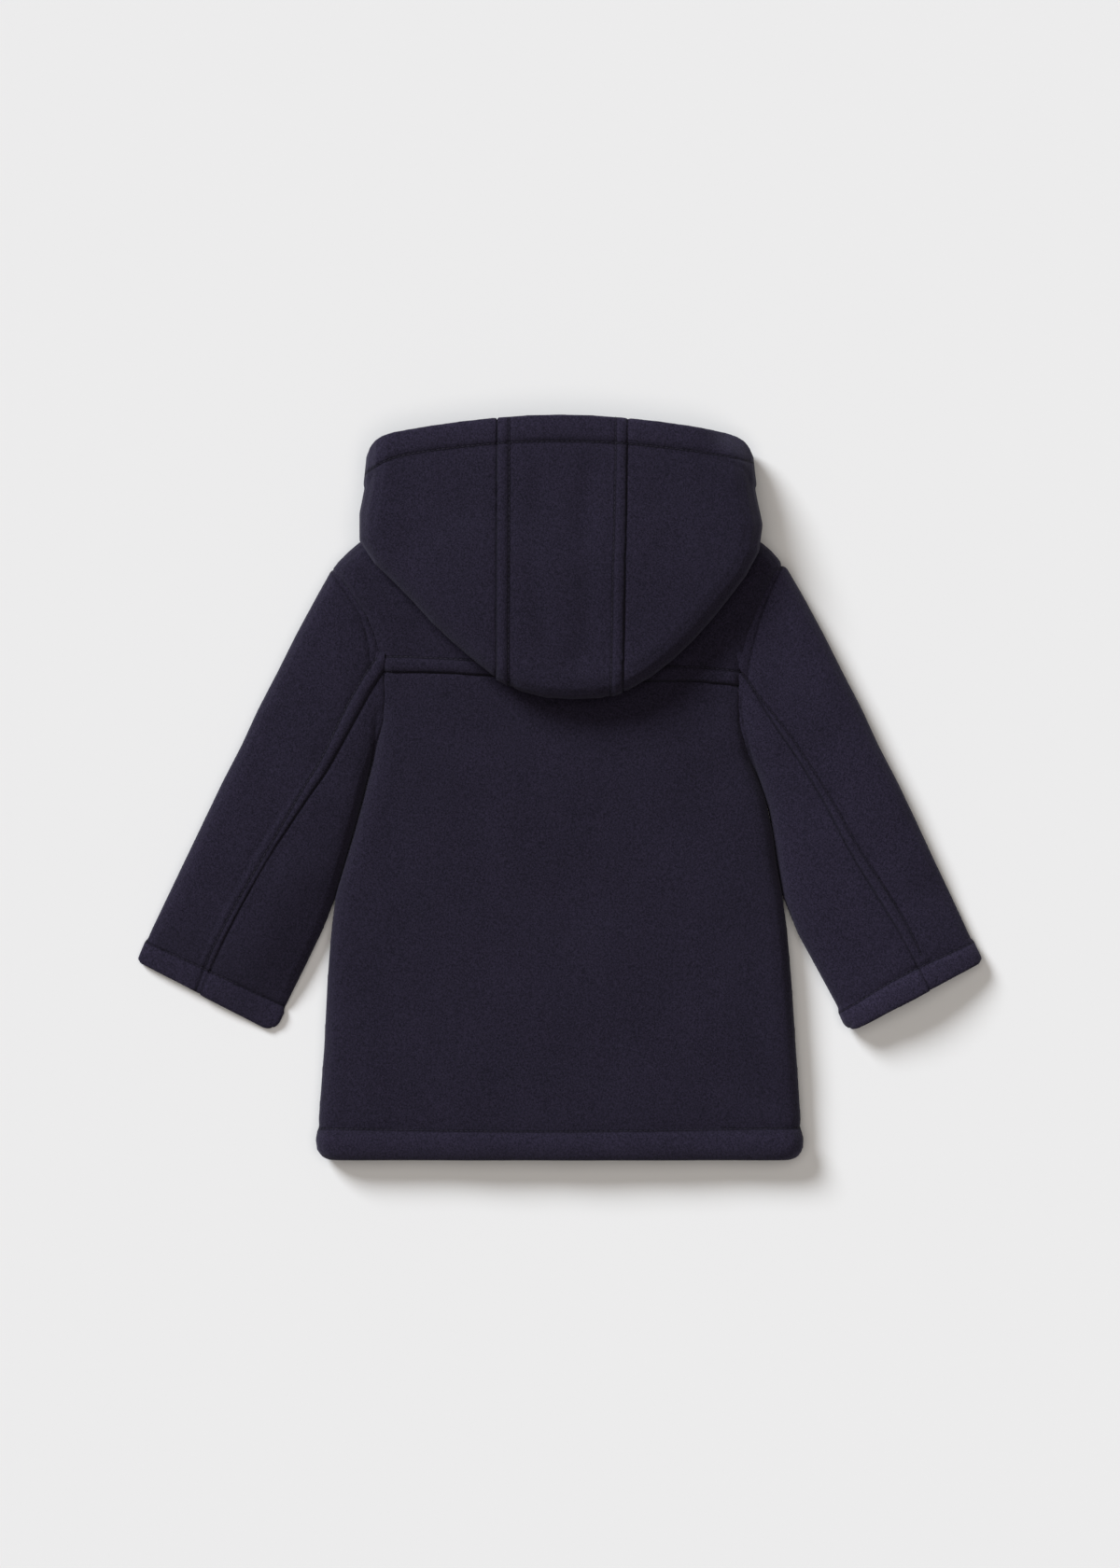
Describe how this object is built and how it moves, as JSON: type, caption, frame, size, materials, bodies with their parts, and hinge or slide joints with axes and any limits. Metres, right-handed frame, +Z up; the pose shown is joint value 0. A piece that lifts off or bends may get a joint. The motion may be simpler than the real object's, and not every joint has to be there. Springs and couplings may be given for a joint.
{
  "type": "child's hooded duffle coat laid flat",
  "caption": "Child's hooded coat in thick felted cloth, laid flat front down, with a back yoke, two-piece sleeves, turned hems and a hood spread over its back.",
  "frame": {"origin": "on the surface the coat lies on, under the middle of its bounding box", "axes": "+Z up from the surface, +Y from the hem towards the hood, +X towards the wearer's right sleeve"},
  "size_m": [0.5614, 0.492, 0.0555],
  "materials": {
    "felted_cloth_body": "navy felted wool-look cloth with a short brushed nap",
    "felted_cloth_sleeves": "navy felted wool-look cloth with a short brushed nap",
    "felted_cloth_hood": "navy felted wool-look cloth with a short brushed nap"
  },
  "bodies": {
    "root": {"back_panel": "felted_cloth_body", "back_yoke": "felted_cloth_body", "front_left": "felted_cloth_body", "front_right": "felted_cloth_body", "sleeve_left_upper": "felted_cloth_sleeves", "sleeve_left_under": "felted_cloth_sleeves", "sleeve_right_upper": "felted_cloth_sleeves", "sleeve_right_under": "felted_cloth_sleeves", "hood_left": "felted_cloth_hood", "hood_centre": "felted_cloth_hood", "hood_right": "felted_cloth_hood"}
  },
  "joints": []
}
